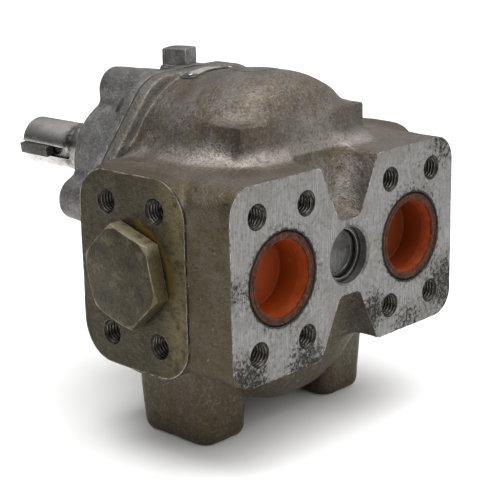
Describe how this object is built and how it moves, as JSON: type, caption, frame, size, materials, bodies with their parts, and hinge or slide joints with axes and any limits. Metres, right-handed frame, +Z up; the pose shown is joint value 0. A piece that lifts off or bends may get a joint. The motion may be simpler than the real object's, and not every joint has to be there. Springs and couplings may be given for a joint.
{
  "type": "hydraulic gear pump",
  "caption": "External gear pump with cast body, meshing spur gears, keyed drive shaft, rear and side flange ports, screwed plugs and feet.",
  "frame": {"origin": "centre of the drive shaft's end face", "axes": "+Y along the drive shaft and out of its end, +Z up through both gear axes, +X to the right seen from the rear ports"},
  "size_m": [0.2048, 0.252, 0.1984],
  "materials": {
    "cast_housing": "weathered sand casting, milled faces",
    "cast_cover": "weathered casting",
    "steel": "ground",
    "dark_steel": "black oxide",
    "bronze": "turned",
    "machined_aluminium": "milled",
    "rubber": "matte",
    "gasket": "pressed fibre",
    "plated_steel": "yellow zinc, dulled",
    "orange_plastic": "moulded",
    "plate": "blank plate"
  },
  "bodies": {
    "body": {"housing": "cast_housing", "front_cover": "cast_cover", "centre_plug": "steel", "dowel_left": "steel", "dowel_right": "steel", "shaft_seal_snap_ring": "dark_steel", "centre_plug_snap_ring": "dark_steel", "top_pipe_plug": "dark_steel", "cover_bolt_left_1": "dark_steel", "cover_bolt_right_1": "dark_steel", "cover_bolt_left_2": "dark_steel", "cover_bolt_right_2": "dark_steel", "cover_bolt_left_3": "dark_steel", "cover_bolt_right_3": "dark_steel", "cover_bolt_left_4": "dark_steel", "cover_bolt_right_4": "dark_steel", "drive_bush_rear": "bronze", "idler_bush_rear": "bronze", "drive_bush_front": "bronze", "idler_bush_front": "bronze", "rear_bushing_block": "machined_aluminium", "front_bushing_block": "machined_aluminium", "shaft_seal": "rubber", "centre_plug_oring": "rubber", "left_side_plug_oring": "rubber", "right_side_plug_oring": "rubber", "cover_gasket": "gasket", "left_side_plug": "plated_steel", "right_side_plug": "plated_steel", "left_port_cap": "orange_plastic", "right_port_cap": "orange_plastic", "nameplate": "plate", "nameplate_pin_left": "plate", "nameplate_pin_right": "plate"},
    "drive_train": {"drive_shaft": "steel", "drive_gear": "steel", "drive_gear_key": "dark_steel", "shaft_key": "dark_steel"},
    "idler_train": {"idler_shaft": "steel", "idler_gear": "steel", "idler_gear_key": "dark_steel"}
  },
  "joints": [
    {"name": "drive_spin", "type": "hinge", "parent": "body", "child": "drive_train", "pos_m": [0, -0.176, 0], "axis": [0, 1, 0], "continuous": true},
    {"name": "idler_spin", "type": "hinge", "parent": "body", "child": "idler_train", "pos_m": [0, -0.176, -0.0616], "axis": [0, 1, 0], "continuous": true}
  ],
  "couplings": [
    {"joint": "idler_spin", "follows": "drive_spin", "ratio": -1}
  ]
}
